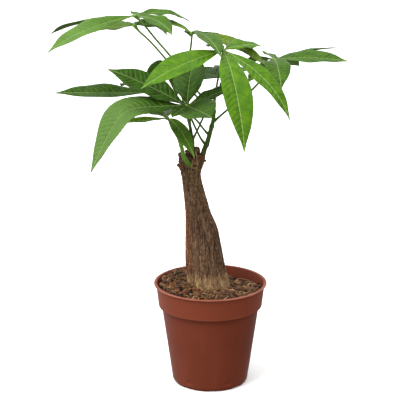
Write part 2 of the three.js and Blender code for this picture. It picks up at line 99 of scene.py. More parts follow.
# Each shoot: its route up from the crown, its radii at foot and tip, the shares of its
# length where its nodes are, and how green it is at foot and tip (0 to 1).
SHOOTS = {
    "shoot_right": ([
        (-9, -2, 245), (-6.6, -2, 255), (-3.8, -2, 262), (-0.5, -2, 274), (2.8, -3, 288),
        (3.5, -5, 300), (3.6, -8, 309)], (2.9, 1.6), (0.25, 0.55, 0.8), (0.04, 0.6)),
    "shoot_left": ([
        (-18, 0, 243), (-18.3, 0, 258), (-19.5, 2, 268), (-22.6, 6.5, 286), (-24.2, 12, 305),
        (-25.8, 20, 330), (-25.5, 23, 343)], (1.9, 1.3), (0.2, 0.42, 0.66, 0.86), (0.04, 0.6)),
    "shoot_front": ([
        (-17.5, -3, 238), (-21, -9.5, 240.5), (-23.9, -12.3, 244), (-27.8, -13.5, 251.4),
        (-30.1, -12.5, 261.2), (-33.4, -8.5, 269.5)], (3.1, 1.7), (0.45, 0.8), (0.4, 0.95)),
}
SHOOT_STEPS = 120

# Each leaf: its shoot, the height of its joint there, the way of its petiole to the hub, how young it is (0
# to 1), and its leaflets: heading, length, width, rise, droop, bend, bank, swing, how olive it is (0 to 1),
# the share of its droop that comes as a fold at half length, and how much painted sheen, paler and greyer,
# lies on its far half (0 to 1). Numbers left out at the end of a row are 0.
LEAVES = {
    "leaf_front": ("shoot_right", 302, [(5.5, -11, 321), (9, -24, 344), (12, -50, 368)], 0.92, [
        (-80, 124, 32, -10, -76, 0.9, 12, 8),
        (-40.5, 103, 21, -17, -67, 1.5, -15, 9),
        (-153, 93, 34, -10, -33, 1.3, 20, -8),
        (58, 72, 19, 4, -16, 1.2, -20, -5),
        (104, 62, 16, 0, -14, 1.2),
    ]),
    "leaf_crown": ("shoot_left", 342.5, [(-21.3, 17, 355), (-19, 10, 375)], 0.55, [
        (-73, 96, 26, 10, -26, 1.4, 10, 1),
        (-17, 88, 19, -3, -39, 1.1, -16, -6, 0.5),
        (152, 54, 15, 25, -7, 1.1, 0, -6, 0.3),
        (92, 66, 15, -5, -24, 1.5),
        (60, 66, 18, -6, -26, 1.5),
    ]),
    "leaf_left_top": ("shoot_right", 296, [
        (-20, 2, 324.5), (-41, 4, 352), (-56, 5, 369.5), (-69, 5, 385.5), (-77, 5, 393.8)], 0.45, [
        (-164, 98, 29, -10, -37, 1.6, 16, 0, 0, 0, 0.7),
        (164, 110, 29, -7.5, -25, 1.5, -3, -27, 0, 0, 0.3),
        (31, 68, 19, 7, -33, 1.3, -12),
        (-51, 77, 21, 4, -22, 1.4, -8, -16),
        (86, 72, 18, -3, -14, 1.2),
    ]),
    "leaf_left_back": ("shoot_right", 290, [
        (-26.5, 13, 323), (-46.5, 22, 346), (-63.5, 29, 364), (-75, 33, 374), (-79, 35, 379)], 0.45, [
        (143, 59, 22, -11, -1, 1.2, 19, 1, 0.2),
        (-48, 64, 19, 13, -25, 1.5, 36, -16),
        (74, 70, 17, -2, -16, 1.2),
        (96, 72, 17, -3, -17, 1.2),
    ]),
    "leaf_right": ("shoot_right", 284, [(16, 0, 296), (42, 3, 317), (56, 4, 333), (65, 5, 349)], 0.36, [
        (-88, 73, 26, 5, -44, 1.5, -3, 3),
        (-16, 76, 30, 7, -7, 1.2, -14, 6),
        (26, 82, 16, 10, -5, 1.1, 10, 12),
        (54, 50, 20, -13, -21, 1.4, 30, -1),
        (80, 74, 22, -6, -22, 1.3, -16),
        (102, 50, 14, 4, -12, 1.1, -14, -9),
        (127, 46, 20, -4, -23, 1, -18),
        (-126, 50, 20, -14, -26, 1.3),
    ]),
    "leaf_middle": ("shoot_left", 276, [(-21.5, -14, 288), (-23, -32, 300), (-24, -45, 311)], 0.04, [
        (84, 61, 34, 61, -3, 1.7, 11, -11, 0, 0, 0.2),
        (-4, 50, 22, 23, 26, 1.4, -22, -8),
        (-73, 68, 38, 5, -3, 1.3, -22, 8, 0, 0, 0.15),
        (166, 90, 32, 25, 14, 1.7, 25, -7),
        (-168, 133, 42, 2.8, -67, 1.1, 19, 1, 0, 0.74, 0.8),
        (-125, 27, 16, -9, -26, 1.4),
    ]),
    "leaf_left": ("shoot_right", 270, [(-7.5, 0, 277), (-16, 2, 287), (-40, 5, 302), (-63, 10, 313)], 0.1, [
        (-177, 98, 31, 1, 0, 0.8, 15, 1),
        (114, 84, 26, 4, -20, 1.4),
        (90, 88, 26, 4, -20, 1.4),
        (72, 54, 22, -4, -24, 1.4),
    ]),
    "leaf_hanging": ("shoot_front", 269, [(-38, 0, 278), (-45.4, 15, 285)], 0.95, [
        (-68, 75, 15, 2, -45.5, 1, -27, 7, 0, 0, 0.2),
        (-144, 66, 20, 2, 4, 1.5, 3, 0, 0.25),
        (96, 72, 24, 4, -26, 1.4),
        (125, 62, 20, 6, -24, 1.4),
    ]),
    "leaf_right_back": ("shoot_left", 264, [
        (-13.5, 4, 275), (-6.5, 10, 289), (8, 16, 311.5), (16, 20, 327)], 0, [
        (122, 64, 26, -4, 0, 1.4, 23),
        (66, 72, 24, 6, -19, 1.4),
        (88, 94, 28, 4, -20, 1.4),
        (-85, 42, 18, -15, -50, 1.4),
    ]),
    "leaf_back": ("shoot_right", 259.5, [
        (-9.7, -2, 266.5), (-14.4, -2.5, 275.8), (-19.8, -3, 288), (-27, 2, 302), (-33, 16, 322),
        (-40, 35, 340)], 0.15, [
        (-112, 63, 23, -8, -13, 1.3, 56, -13),
        (89, 56, 18, -31, -79, 1.3, 0, -16, 0.8),
        (78, 70, 20, -6, -20, 1.4),
        (100, 58, 18, -8, -24, 1.4),
    ]),
}

# Half outline of a leaflet: share of its length, share of its half width.
LEAFLET_OUTLINE = [
    (0, 0.1), (0.07, 0.15), (0.19, 0.52), (0.34, 0.87), (0.5, 1),
    (0.66, 0.91), (0.81, 0.6), (0.93, 0.2), (1, 0.03),
]
BLADE_THICKNESS = 0.55
BLADE_FOLD = 0.16  # rise of the margins for each millimetre of half width
BLADE_WAVE = 0.7
BLADE_STEP = 0.95
SIDE_VEIN_SPACING = 5.6
LEAFLET_NUMBERS = 11
PETIOLE_STEPS = 90
PETIOLE_RADIUS = 1.05
JOINT_RADIUS = 2.1


# ----- Small helpers -----

def linear(hex_colour):
    """A colour written as sRGB, as the shader wants it."""
    def channel(value):
        value /= 255
        return value / 12.92 if value <= 0.04045 else ((value + 0.055) / 1.055) ** 2.4
    parts = [channel(int(hex_colour[start:start + 2], 16)) for start in (1, 3, 5)]
    return (*parts, 1)


def between(low, high, value):
    """0 below low, 1 above high, and a soft step from one to the other."""
    share = min(1, max(0, (value - low) / (high - low)))
    return share * share * (3 - 2 * share)


def read_table(rows, place):
    """The value at a place in rows of (place, value), on a smooth curve through them."""
    last = len(rows) - 1
    at = 0
    while at < last - 1 and place > rows[at + 1][0]:
        at += 1
    slopes = []
    for index in (at, at + 1):
        low, high = rows[max(0, index - 1)], rows[min(last, index + 1)]
        slopes.append((high[1] - low[1]) / (high[0] - low[0]))
    step = rows[at + 1][0] - rows[at][0]
    t = min(1, max(0, (place - rows[at][0]) / step))
    return ((2 * t ** 3 - 3 * t ** 2 + 1) * rows[at][1] + (t ** 3 - 2 * t ** 2 + t) * step * slopes[0]
            + (3 * t ** 2 - 2 * t ** 3) * rows[at + 1][1] + (t ** 3 - t ** 2) * step * slopes[1])


def turns(sides):
    """The angles of a full turn, one for each side."""
    return [tau * side / sides for side in range(sides)]


def round_point(radius, angle, height):
    return Vector((radius * cos(angle), radius * sin(angle), height))


def bend_through(points, steps):
    """Evenly spaced points on a smooth curve through the given ones."""
    knots = [Vector(point) for point in points]
    knots = [2 * knots[0] - knots[1], *knots, 2 * knots[-1] - knots[-2]]
    dense = []
    for a, b, c, d in zip(knots, knots[1:], knots[2:], knots[3:]):
        ab, bc, cd = ((q - p).length ** 0.5 for p, q in ((a, b), (b, c), (c, d)))
        leaving = ((b - a) / ab - (c - a) / (ab + bc) + (c - b) / bc) * bc
        coming = ((c - b) / bc - (d - b) / (bc + cd) + (d - c) / cd) * bc
        for part in range(24):
            t = part / 24
            dense.append(b + leaving * t + (3 * (c - b) - 2 * leaving - coming) * t ** 2
                         + (2 * (b - c) + leaving + coming) * t ** 3)
    dense.append(knots[-2])
    lengths = [0]
    for p, q in zip(dense, dense[1:]):
        lengths.append(lengths[-1] + (q - p).length)
    placed, at = [], 0
    for step in range(steps + 1):
        want = lengths[-1] * step / steps
        while at < len(dense) - 2 and lengths[at + 1] < want:
            at += 1
        share = (want - lengths[at]) / max(1e-9, lengths[at + 1] - lengths[at])
        placed.append(dense[at].lerp(dense[at + 1], min(1, share)))
    return placed


class Shape:
    """The points and faces of one piece. Its material reads the mark and the tint of each point:
    three numbers, or one where the others are 0."""

    def __init__(self):
        self.points, self.faces, self.slots = [], [], []
        self.marks, self.tints = [], []

    def add_point(self, point, mark=0, tint=0):
        self.points.append(point)
        self.marks.append(mark)
        self.tints.append(tint)
        return len(self.points) - 1

    def add_face(self, corners, slot=0):
        self.faces.append(corners)
        self.slots.append(slot)

    def add_rings(self, rings, slot=0, mark=0, tint=0, ends=True):
        """Skins closed rings of points. mark and tint may be functions of the ring and the side."""
        sides = len(rings[0])
        first = len(self.points)
        for row, ring in enumerate(rings):
            for side, point in enumerate(ring):
                looks = (value(row, side) if callable(value) else value for value in (mark, tint))
                self.add_point(point, *looks)
        for row in range(len(rings) - 1):
            for side in range(sides):
                here = first + row * sides + side
                beside = first + row * sides + (side + 1) % sides
                self.add_face((here, beside, beside + sides, here + sides), slot)
        if ends:
            last = first + (len(rings) - 1) * sides
            self.add_face(tuple(range(first + sides - 1, first - 1, -1)), slot)
            self.add_face(tuple(range(last, last + sides)), slot)

    def add_rod(self, line, radius_at, sides, slot=0, mark=0, tint=0):
        """A rod along a line of points. radius_at takes the share of the length and the angle."""
        rings = []
        ahead = (line[1] - line[0]).normalized()
        right = ahead.orthogonal().normalized()
        for at, middle in enumerate(line):
            ahead = (line[min(at + 1, len(line) - 1)] - line[max(at - 1, 0)]).normalized()
            right = (right - ahead * right.dot(ahead)).normalized()
            up = ahead.cross(right)
            share = at / (len(line) - 1)
            rings.append([
                middle + (right * cos(angle) + up * sin(angle)) * radius_at(share, angle)
                for angle in turns(sides)])
        self.add_rings(rings, slot, mark, tint)

    def add_strip(self, centres, halves, side, over, under, mark, tint=0):
        """A thin tapering strip: middle points, half widths, its way across, and its two faces."""
        self.add_rings([[centre + side * half, centre + over, centre - side * half, centre - under]
                        for centre, half in zip(centres, halves)], mark=mark, tint=tint)

    def as_object(self, name, materials=()):
        mesh = bpy.data.meshes.new(name)
        mesh.from_pydata([point * MM for point in self.points], [], self.faces)
        for material in materials:
            mesh.materials.append(material)
        return put_in_scene(name, mesh)


def put_in_scene(name, data):
    placed = bpy.data.objects.new(name, data)
    bpy.context.collection.objects.link(placed)
    return placed


def make_piece(name, shape, materials, node, corner=50):
    """Turns a shape into an object that stands for a CAD node. Edges that turn by more than
    corner degrees are shaded as sharp."""
    piece = shape.as_object(name, materials)
    mesh = piece.data
    for label, values in (("mark", shape.marks), ("tint", shape.tints)):
        layer = mesh.attributes.new(label, "FLOAT_VECTOR", "POINT")
        threes = (value if isinstance(value, tuple) else (value, 0, 0) for value in values)
        layer.data.foreach_set("vector", [part for three in threes for part in three])
    mesh.polygons.foreach_set("material_index", shape.slots)
    mesh.polygons.foreach_set("use_smooth", [True] * len(shape.faces))
    mesh.update()
    mesh.set_sharp_from_angle(angle=radians(corner))
    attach(piece, "root")
    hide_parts(node)
    return piece


class Surface:
    """A material, or the sky, under construction."""

    def __init__(self, name, kept=bpy.data.materials):
        self.made = kept.new(name)
        self.made.use_nodes = True
        self.tree = self.made.node_tree
        self.tree.nodes.clear()
        self.place = self.add("TexCoord").outputs["Object"]

    def add(self, kind, *inputs, **settings):
        """Adds a node with its settings. Its inputs are values or links, in the order of its
        sockets or as a dictionary by label. A pattern is laid over the object's own place
        unless it is given another."""
        node = self.tree.nodes.new("ShaderNode" + kind)
        for label, value in settings.items():
            setattr(node, label, value)
        inputs = dict(inputs[0] if inputs and isinstance(inputs[0], dict) else enumerate(inputs))
        if kind in ("TexNoise", "TexVoronoi", "Mapping"):
            inputs.setdefault("Vector", self.place)
        for label, value in inputs.items():
            if isinstance(value, bpy.types.Node):
                value = next(socket for socket in value.outputs if socket.enabled)
            if isinstance(value, bpy.types.NodeSocket):
                self.tree.links.new(value, node.inputs[label])
            else:
                node.inputs[label].default_value = value
        return node

    def read(self, label):
        """The three numbers that each point carries under a label."""
        carried = self.add("Attribute", attribute_name=label).outputs["Vector"]
        return self.add("SeparateXYZ", carried).outputs

    def finish(self, inputs, relief=None, shader="BsdfPrincipled", output="OutputMaterial"):
        """Links the shader to the output. relief is a bump's strength, depth and height."""
        if relief:
            inputs["Normal"] = self.add("Bump", dict(zip(("Strength", "Distance", "Height"), relief)))
        self.add(output, {"Surface": self.add(shader, inputs)})
        return self.made


def colour_steps(node, steps):
    """Sets the steps of a colour ramp: pairs of place and sRGB colour."""
    ramp = node.color_ramp
    while len(ramp.elements) < len(steps):
        ramp.elements.new(0.5)
    for element, (place, colour) in zip(ramp.elements, steps):
        element.position = place
        element.color = linear(colour)
    return node


# ----- Materials -----

def injection_moulded_polypropylene(look):
    """Terracotta plastic as it leaves the mould: a satin shell with a faint grain, dull flow streaks that
    run down the wall, a painted highlight along the lip and the band's lower edge, painted light that makes
    the band paler, and soil dust near the lip."""
    painted_light = look.read("mark")
    streak_place = look.add("Mapping", {"Scale": (1, 1, 0.12)})
    streaks = look.add("TexNoise", {"Vector": streak_place, "Scale": 90, "Detail": 3})
    clouds = look.add("TexNoise", {"Scale": 28, "Detail": 2})
    grain = look.add("TexNoise", {"Scale": 1900, "Detail": 2})
    specks = look.add("TexNoise", {"Scale": 420, "Detail": 4, "Roughness": 0.7})
    height = look.add("SeparateXYZ", look.place).outputs["Z"]
    specked = look.add("MapRange", specks, 0.58, 0.72, 0, 0.5)
    upper = look.add("MapRange", height, 0.095, 0.108, 0.1, 0.7)
    dust = look.add("Math", specked, upper, operation="MULTIPLY")
    dull = look.add("MapRange", streaks, 0.5, 0.8, 0, 0.35)
    tone = colour_steps(look.add("ValToRGB", clouds), [(0.3, "#642d1c"), (0.7, "#6a3120")])
    # The mark's X is a painted highlight on the lip and the band's lower edge; its Y is painted light that
    # pales the band, the rim and the inner wall above the body.
    for share, coat in ((dull, "#74392a"), (painted_light["Y"], "#743724"), (painted_light["X"], "#bd7c66"),
                        (dust, "#5f4632")):
        tone = look.add("Mix", {0: share, 6: tone, 7: linear(coat)}, data_type="RGBA")
    return look.finish({
        "Base Color": tone, "IOR": 1.49, "Specular IOR Level": 0.1,
        "Roughness": look.add("MapRange", streaks, 0.3, 0.8, 0.36, 0.5)
    }, relief=(0.12, 0.00012, grain))


def composted_pine_bark(look):
    """Broken pine bark after a year in a heap: dark wet-looking faces, redder fresh breaks and a dry pale
    bloom, each chip of its own tone, with the layered grain of cork, and painted shade between the chips,
    under them and along the pot's wall."""
    crumbs = look.add("TexNoise", {"Scale": 700, "Detail": 5, "Roughness": 0.7})
    flat_place = look.add("Mapping", {"Scale": (1, 1, 4)})
    layers = look.add("TexNoise", {"Vector": flat_place, "Scale": 420, "Detail": 3})
    tone = colour_steps(look.add("ValToRGB", look.read("tint")["X"]), [
        (0, "#1d1009"), (0.25, "#422817"), (0.5, "#654428"), (0.75, "#7d5635"), (0.88, "#84492c"),
        (1, "#b08c5e")])
    grey = look.add("MapRange", crumbs, 0.35, 0.68, 0.35, 1.45)
    tone = look.add("Mix", {0: 1.0, 6: tone, 7: grey}, data_type="RGBA", blend_type="MULTIPLY")
    # Painted shade: the mark darkens the ground between the chips, its hollows, the ground by the wall,
    # each chip's underside and the chips at the right; it also holds each chip's own random darkness.
    tone = look.add("Mix", {0: look.read("mark")["X"], 6: tone, 7: linear("#180c05")}, data_type="RGBA")
    height = look.add("Math", crumbs, layers, operation="ADD")
    return look.finish({
        "Base Color": tone, "Specular IOR Level": 0.2,
        "Roughness": look.add("MapRange", crumbs, 0.3, 0.7, 0.7, 0.95)
    }, relief=(0.9, 0.0006, height))


def teased_coir_fibre(look):
    """Coconut husk pulled into loose strands: straw to orange brown, a little shiny along
    each strand and darker where it is still wet."""
    damp = look.add("TexNoise", {"Scale": 260, "Detail": 3})
    wet = look.add("MapRange", damp, 0.45, 0.7, 0, 0.6)
    tone = colour_steps(look.add("ValToRGB", look.read("tint")["X"]), [
        (0, "#432b17"), (0.5, "#7f5e3c"), (0.8, "#8f5d35"), (1, "#d2b083")])
    tone = look.add("Mix", {0: wet, 6: tone, 7: linear("#4a3722")}, data_type="RGBA")
    return look.finish({
        "Base Color": tone, "Roughness": 0.62
    }, relief=(0.5, 0.0002, damp))


def furrowed_living_bark(look):
    """Bark split lengthwise as the trunk swelled: grey-brown plates between dark fissures, a rusty strip
    down the left, straw-coloured fibres at the foot and a green-tan scar. The fissures and ring scars are
    dark partly of their own colour and partly with painted shade, the hollows between the crown's knobs
    carry painted shade, and the upper trunk is painted paler as painted light."""
    tint = look.read("tint")
    long_place = look.add("Mapping", {"Scale": (1, 1, 0.13)})
    streaks = look.add("TexNoise", {"Vector": long_place, "Scale": 620, "Detail": 5, "Roughness": 0.65})
    plates = look.add("TexNoise", {"Vector": long_place, "Scale": 170, "Detail": 4, "Roughness": 0.6})
    flecks = look.add("TexNoise", {"Scale": 800, "Detail": 4, "Roughness": 0.7})
    height = look.add("SeparateXYZ", look.place).outputs["Z"]
    # Painted light: the trunk is painted paler upwards from 178 to 205 mm, against the shadow of the leaves
    # above it.
    high = look.add("MapRange", height, 0.178, 0.205, 0, 0.42)
    tone = colour_steps(look.add("ValToRGB", plates), [
        (0.28, "#352419"), (0.45, "#523a29"), (0.6, "#684e39"), (0.76, "#80664c")])
    for share, coat in ((high, "#86674a"), (tint["X"], "#73452c"), (tint["Y"], "#b08f66"),
                        (tint["Z"], "#8f7d50")):
        tone = look.add("Mix", {0: share, 6: tone, 7: linear(coat)}, data_type="RGBA")
    grey = look.add("MapRange", streaks, 0.32, 0.68, 0.42, 1.42)
    tone = look.add("Mix", {0: 1.0, 6: tone, 7: grey}, data_type="RGBA", blend_type="MULTIPLY")
    # Darker in the fissures, ring scars and crown hollows: partly the bark's own colour, partly painted
    # shade.
    tone = look.add("Mix", {0: look.read("mark")["X"], 6: tone, 7: linear("#1f130c")}, data_type="RGBA")
    relief = look.add("Math", flecks, 0.5, streaks, operation="MULTIPLY_ADD")
    return look.finish({
        "Base Color": tone, "Specular IOR Level": 0.2,
        "Roughness": look.add("MapRange", flecks, 0.3, 0.7, 0.72, 0.95)
    }, relief=(0.85, 0.0007, relief))


def smooth_green_stem(look):
    """The skin of this year's shoots and petioles: dark green with fine lengthwise ribs, pale
    pores, browner at the woody foot and brighter towards the leaf."""
    pores = look.add("TexVoronoi", {"Scale": 620})
    pored = look.add("MapRange", pores, 0.08, 0.22, 0.5, 0)
    long_place = look.add("Mapping", {"Scale": (1, 1, 0.15)})
    ribs = look.add("TexNoise", {"Vector": long_place, "Scale": 900, "Detail": 2})
    tone = colour_steps(look.add("ValToRGB", look.read("mark")["X"]), [
        (0, "#5d4a26"), (0.15, "#3c4a1d"), (0.5, "#466b1c"), (1, "#79a03c")])
    tone = look.add("Mix", {0: pored, 6: tone, 7: linear("#9aa36a")}, data_type="RGBA")
    return look.finish({
        "Base Color": tone, "Specular IOR Level": 0.15,
        "Roughness": look.add("MapRange", ribs, 0.3, 0.7, 0.38, 0.55)
    }, relief=(0.35, 0.0002, ribs))


def waxy_leaf_blade(look):
    """A leaf's skin under its own wax: deep green when old, yellow green when young, paler midrib and side
    veins with the blade swelling between them, dull and paler underneath, with painted shade along the side
    veins and, on some leaflets, a painted sheen, paler and greyer, on the far half."""
    mark, tint = look.read("mark"), look.read("tint")
    along, across, edge = mark["X"], mark["Y"], mark["Z"]
    youth, olive, under = tint["X"], tint["Y"], tint["Z"]
    wander = look.add("TexNoise", {"Scale": 130, "Detail": 1})
    aside = look.add("Math", across, operation="ABSOLUTE")
    curved = look.add("Math", aside, aside, operation="MULTIPLY")
    swept = along
    for part, weight in ((aside, -0.5), (curved, -0.018), (wander, 3.2)):
        swept = look.add("Math", part, weight, swept, operation="MULTIPLY_ADD")
    # How far the point is from the nearest side vein: 0 on it, 0.5 halfway.
    passed = look.add("Math", swept, 1 / SIDE_VEIN_SPACING, operation="MULTIPLY")
    away = look.add("Math", passed, 0.5, operation="PINGPONG")
    side_vein = look.add("MapRange", away, 0.02, 0.1, 0.22, 0)
    midrib = look.add("MapRange", aside, 0.25, 0.85, 1, 0)
    old, young = (colour_steps(look.add("ValToRGB", wander), [(0.3, low), (0.7, high)])
                  for low, high in (("#1f3a05", "#2f520b"), ("#3d6707", "#557f0c")))
    # Painted shade: the blade is darkened next to each side vein, where its swelling dips, fading out
    # towards halfway; deep sets how dark.
    deep = look.add("Math", youth, 0.1, 0.18, operation="MULTIPLY_ADD")
    hollow = look.add("MapRange", away, 0.03, 0.3, deep, 0)
    pale = look.add("Math", youth, 0.16, 0.36, operation="MULTIPLY_ADD")
    ribbed = look.add("Math", midrib, pale, operation="MULTIPLY")
    # under is 1 on the underside, which is paler of its own; on the top face it is the leaflet's painted
    # sheen, a paler, greyer far half.
    dull = look.add("Math", under, 0.55, operation="MULTIPLY")
    tone = look.add("Mix", {0: youth, 6: old, 7: young}, data_type="RGBA")
    for share, coat in ((olive, "#6b7c22"), (dull, "#749650"), (hollow, "#23420e"), (side_vein, "#8fae4e"),
                        (ribbed, "#9fba6c")):
        tone = look.add("Mix", {0: share, 6: tone, 7: linear(coat)}, data_type="RGBA")
    # The swelling between the veins dies away at the margin, over a fine net.
    swelling = look.add("Math", away, 0.5, operation="POWER")
    dying = look.add("MapRange", edge, 0.7, 1, 1, 0.15)
    net = look.add("TexVoronoi", {"Scale": 850}, feature="DISTANCE_TO_EDGE")
    height = look.add("Math", swelling, dying, operation="MULTIPLY")
    fine = look.add("Math", net, 0.2, operation="MINIMUM")
    for part, weight in ((fine, 0.3), (midrib, -0.5)):
        height = look.add("Math", part, weight, height, operation="MULTIPLY_ADD")
    gloss = look.add("MapRange", wander, 0.3, 0.7, 0.3, 0.44)
    return look.finish({
        "Base Color": tone, "IOR": 1.42, "Specular IOR Level": 0.14,
        "Roughness": look.add("Math", under, 0.25, gloss, operation="MULTIPLY_ADD")
    }, relief=(0.8, 0.0012, height))


PLASTIC, BARK_CHIP, COIR, TREE_BARK, GREEN_STEM, LEAF_BLADE = (
    recipe(Surface(recipe.__name__)) for recipe in (
        injection_moulded_polypropylene, composted_pine_bark, teased_coir_fibre, furrowed_living_bark,
        smooth_green_stem, waxy_leaf_blade))


# ----- Pot -----

POT_INSIDE = [
    (FOOT_RADIUS - POT_WALL, POT_FLOOR + 1),
    (BODY_TOP_RADIUS - POT_WALL, BODY_TOP_HEIGHT + 0.6),
    (BAND_FOOT_RADIUS - POT_WALL, BAND_FOOT_HEIGHT + 1),
    (BAND_TOP_RADIUS - POT_WALL - 0.9, POT_HEIGHT - 12),
    (BAND_TOP_RADIUS - POT_WALL - 0.4, POT_HEIGHT - 11.4),
    (BAND_TOP_RADIUS - POT_WALL, POT_HEIGHT - 0.9),
]
POT_SIDES = 216


def wall_radius(height):
    """The pot's inner radius at a height."""
    for low, high in zip(POT_INSIDE, POT_INSIDE[1:]):
        if height <= high[1]:
            return low[0] + (high[0] - low[0]) * max(0, height - low[1]) / (high[1] - low[1])
    return POT_INSIDE[-1][0]


def dent(angle, height):
    """The depth of the shallow oval recesses low on the wall."""
    deepest = 0
    for middle in turns(RECESSES):
        turn = angle - middle - radians(-123)
        reach = ((atan2(sin(turn), cos(turn)) * 41 / RECESS_HALF[0]) ** 2
                 + ((height - RECESS_MIDDLE) / RECESS_HALF[1]) ** 2)
        deepest = max(deepest, RECESS_DEPTH * between(1, 0, reach))
    return deepest


def make_pot():
    slope = (BODY_TOP_RADIUS - FOOT_RADIUS) / (BODY_TOP_HEIGHT - FOOT_HEIGHT)
    outline = []
    for radius, height, corners in (
            (GROOVE_INNER, 0, [(-0.8, 0), (0, GROOVE_DEPTH)]),
            (GROOVE_OUTER, 0, [(0, GROOVE_DEPTH), (0.8, 0)]),
            (FOOT_RADIUS, 0, [(-2.3, 0), (-1.5, 0.25)]),
            (FOOT_RADIUS, FOOT_HEIGHT, [(-0.3, -0.7), *(
                (slope * step * 1.2, step * 1.2) for step in range(9))]),
            (BODY_TOP_RADIUS, BODY_TOP_HEIGHT, [(-0.95, -7), (-0.1, -0.4), (0.3, 0.1)]),
            (BAND_FOOT_RADIUS, BAND_FOOT_HEIGHT, [
                (-0.6, -1), (-0.15, -0.8), (0, -0.3), (0.08, 0.5), (0.16, 1.3)]),
            (BAND_TOP_RADIUS, POT_HEIGHT, [(0, -2.6), (0.1, -1.5)]),
            (RIM_RADIUS, POT_HEIGHT, [
                (-1.4, -1.3), (-0.3, -1.2), (-0.05, -0.95), (-0.05, -0.5), (-0.25, -0.15), (-0.7, 0),
                (-2.4, -0.05)]),
            (BAND_TOP_RADIUS - POT_WALL, POT_HEIGHT, [(0.5, -0.2)])):
        outline += [(radius + out, height + up) for out, up in corners]
    outline += [*reversed(POT_INSIDE), (FOOT_RADIUS - POT_WALL - 1.2, POT_FLOOR), (1, POT_FLOOR), (1, 0)]
    shape = Shape()
    rings = []
    for radius, height in outline:
        ring = []
        for angle in turns(POT_SIDES):
            outer = radius > FOOT_RADIUS - 0.2 and 3.5 < height < 14
            wobble = 0.12 * sin(2 * angle + 1) * between(60, 110, height)
            reach = radius + wobble - (dent(angle, height) if outer else 0)
            ring.append(round_point(reach, angle, height))
        rings.append(ring)
    rings.append(rings[0])
    shape.add_rings(rings, ends=False)
    pot = make_piece("pot_shell", shape, [PLASTIC], "pot", corner=38)
    weld_and_cut(pot)
    marks = [part for vertex in pot.data.vertices for part in painted_light_of_pot(vertex.co / MM)]
    pot.data.attributes["mark"].data.foreach_set("vector", marks)


def painted_light_of_pot(point):
    """A painted highlight on the lip and the band's lower edge, and painted light that makes the band, the
    rim and the wall inside them paler above the body.
    """
    radius = hypot(point.x, point.y)
    uneven = 0.5 + 0.5 * noise(point * 0.08)
    # Painted highlight: a thin pale line round the lip, and a faint one on the band's lower edge.
    lip = between(RIM_RADIUS - 1.5, RIM_RADIUS - 0.6, radius) * between(108.7, 109.1, point.z)
    crest = between(0.8, 0.3, hypot(radius - BAND_FOOT_RADIUS, point.z - BAND_FOOT_HEIGHT))
    inside = radius < wall_radius(point.z) + 0.5
    # Painted light: the band, the rim and the inner wall above the body are painted paler, less so inside.
    painted_band_light = between(85.2, 87, point.z) * (0.7 if inside else 1)
    return max(lip * (0.15 + 0.4 * uneven), 0.08 * crest), painted_band_light, 0


def weld_and_cut(pot):
    """Closes the shell's seam, then cuts the drains and the notches of the foot."""
    modifier = pot.modifiers.new("weld", "WELD")
    modifier.merge_threshold = 0.00002
    cutters = Shape()
    inner, outer = GROOVE_OUTER - 0.5, FOOT_RADIUS + 2
    for drain in range(DRAINS):
        turn = radians(FIRST_DRAIN - 90 + drain * 360 / DRAINS)
        middle = Vector(((GROOVE_INNER + GROOVE_OUTER) / 2, 0, 0))
        turned = Matrix.Rotation(turn, 3, "Z")
        cutters.add_rings([
            [turned @ (middle + round_point(DRAIN_RADIUS, angle, height)) for angle in turns(28)]
            for height in (-1, POT_FLOOR + 1)])
        rings = []
        for height, narrow in ((-1, 0), (NOTCH_HEIGHT - 0.3, 0), (NOTCH_HEIGHT, 0.5)):
            half = NOTCH_WIDTH / 2 - narrow
            corners = ((inner, -half), (outer, -half), (outer, half), (inner, half))
            rings.append([turned @ Vector((x, y, height)) for x, y in corners])
        cutters.add_rings(rings)
    cutter = cutters.as_object("cutters")
    modifier = pot.modifiers.new("cut", "BOOLEAN")
    modifier.operation = "DIFFERENCE"
    modifier.solver = "EXACT"
    modifier.object = cutter
    ready = bpy.data.meshes.new_from_object(pot.evaluated_get(bpy.context.evaluated_depsgraph_get()))
    pot.modifiers.clear()
    old, pot.data = pot.data, ready
    for mesh in (old, cutter.data):
        bpy.data.meshes.remove(mesh)


# ----- Trunk -----

TRUNK_SIDES = 220
TRUNK_STEPS = 330
RUSTY_STUBS = (2, 6)
BARK_FLAKES = 64
FOOT_FIBRES = 320
# Scars that run round the trunk: height, and how deep (0 to 1).
BARK_RINGS = [(152, 0.35), (176, 0.6), (184, 0.5), (190, 0.7), (197, 0.6), (205, 0.7), (212, 0.6),
              (219, 0.8), (227, 0.7)]


